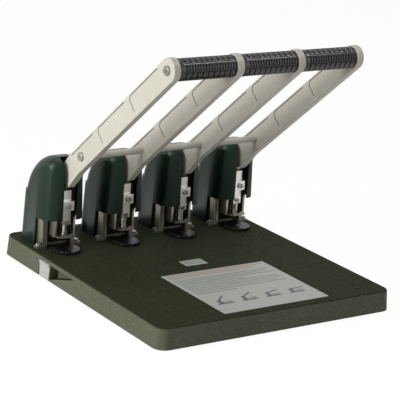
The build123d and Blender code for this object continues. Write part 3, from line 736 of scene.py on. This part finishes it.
def label_pieces():
    sheet_plate("label_sheet", LABEL_X, LABEL_Y, LABEL_WIDE, LABEL_DEEP)
    left = LABEL_X - LABEL_WIDE / 2
    top = LABEL_Y + LABEL_DEEP / 2
    for i, end in enumerate(HEADER_ENDS):
        y = top - HEADER_TOP - HEADER_STEP * i
        ink(f"label_header_{i + 1}", left + HEADER_LEFT, left + end, y - HEADER_TALL, y, LABEL_TAN)
    for i, end in enumerate(RULE_ENDS):
        y = top - RULE_TOP - RULE_STEP * i
        ink(f"label_rule_{i + 1}", left + RULE_LEFT, left + end, y - RULE_HALF, y + RULE_HALF, LABEL_GREY)
    for i, lean in enumerate(SKETCH_LEANS):
        x = left + SKETCH_LEFT + SKETCH_STEP * i
        sketch(f"label_diagram_{i + 1}", x, top - SKETCH_DROP, math.radians(lean))
    sheet_plate("small_label_sheet", SMALL_LABEL_X, SMALL_LABEL_Y, SMALL_LABEL_WIDE, SMALL_LABEL_DEEP)
    for i, y in enumerate(SMALL_RULES):
        low = y - SMALL_RULE_HALF
        high = y + SMALL_RULE_HALF
        ink(f"small_label_rule_{i + 1}", SMALL_RULE_LEFT, SMALL_RULE_RIGHT, low, high, LABEL_GREY)


# Studio

def seen_directly(tree):
    # 1 for the camera's rays and for what shiny surfaces mirror, 0 for light that falls on the object.
    path = tree.nodes.new("ShaderNodeLightPath")
    seen = path.outputs["Is Camera Ray"]
    for kind in ("Is Glossy Ray", "Is Transmission Ray"):
        either = tree.nodes.new("ShaderNodeMath")
        either.operation = "MAXIMUM"
        tree.links.new(seen, either.inputs[0])
        tree.links.new(path.outputs[kind], either.inputs[1])
        seen = either.outputs[0]
    return seen


def studio_floor():
    rest_all()
    bpy.ops.mesh.primitive_plane_add(size=FLOOR_SIDE, location=(0.0, 0.0, 0.0))
    floor = bpy.context.object
    floor.name = "studio_floor"
    material = bpy.data.materials.new("studio_floor_white")
    material.use_nodes = True
    tree = material.node_tree
    tree.nodes.clear()
    out = tree.nodes.new("ShaderNodeOutputMaterial")
    matt = tree.nodes.new("ShaderNodeBsdfDiffuse")
    matt.inputs["Color"].default_value = (FLOOR_GREY, FLOOR_GREY, FLOOR_GREY, 1.0)
    glow = tree.nodes.new("ShaderNodeEmission")
    glow.inputs["Strength"].default_value = FLOOR_GLOW
    share = tree.nodes.new("ShaderNodeMath")
    share.operation = "MULTIPLY"
    share.inputs[1].default_value = FLOOR_GLOW_SHARE
    mixed = tree.nodes.new("ShaderNodeMixShader")
    tree.links.new(seen_directly(tree), share.inputs[0])
    tree.links.new(share.outputs[0], mixed.inputs["Fac"])
    tree.links.new(matt.outputs[0], mixed.inputs[1])
    tree.links.new(glow.outputs[0], mixed.inputs[2])
    tree.links.new(mixed.outputs[0], out.inputs["Surface"])
    floor.data.materials.append(material)


def studio_world():
    world = bpy.data.worlds.new("studio_world")
    bpy.context.scene.world = world
    world.use_nodes = True
    tree = world.node_tree
    tree.nodes.clear()
    out = tree.nodes.new("ShaderNodeOutputWorld")
    back = tree.nodes.new("ShaderNodeBackground")
    back.inputs["Color"].default_value = (1.0, 1.0, 1.0, 1.0)
    level = tree.nodes.new("ShaderNodeMapRange")
    level.inputs["To Min"].default_value = WORLD_LIGHT
    level.inputs["To Max"].default_value = 1.0
    tree.links.new(seen_directly(tree), level.inputs["Value"])
    tree.links.new(level.outputs["Result"], back.inputs["Strength"])
    tree.links.new(back.outputs[0], out.inputs["Surface"])


def lamp(name, spot, aim, wide, high, watts):
    data = bpy.data.lights.new(name, "AREA")
    data.shape = "RECTANGLE"
    data.size = wide
    data.size_y = high
    data.energy = watts
    obj = bpy.data.objects.new(name, data)
    bpy.context.scene.collection.objects.link(obj)
    heading = Vector(aim) - Vector(spot)
    obj.rotation_euler = heading.to_track_quat("-Z", "Y").to_euler()
    obj.location = spot


def lamps():
    lamp("key_left", (-1.75, -0.1, 1.25), PART_MIDDLE, 0.7, 0.9, 15.0)
    lamp("sheen_left", (-1.6, 0.06, 0.34), FIRST_COVER, 0.3, 0.6, 14.0)
    lamp("fill_front", (0.9, -2.1, 0.9), PART_MIDDLE, 1.2, 1.2, 5.0)
    lamp("top_soft", (-0.2, 0.5, 2.1), PART_MIDDLE, 1.2, 1.2, 8.5)
    lamp("streak_right", (1.15, -0.6, 1.9), HANDLE_FRONT, 0.5, 0.3, 8.0)


def camera():
    data = bpy.data.cameras.new("photo_camera")
    data.lens = CAMERA_LENS
    data.sensor_width = CAMERA_FRAME
    obj = bpy.data.objects.new("photo_camera", data)
    turn = Matrix((CAMERA_RIGHT, CAMERA_UP, CAMERA_BACK)).transposed().to_4x4()
    obj.matrix_world = Matrix.Translation(CAMERA_SPOT) @ turn
    bpy.context.scene.collection.objects.link(obj)
    bpy.context.scene.camera = obj


bpy.context.scene.view_settings.view_transform = "Standard"
base_pieces()
head_pieces()
lever_pieces()
label_pieces()
studio_floor()
studio_world()
lamps()
camera()
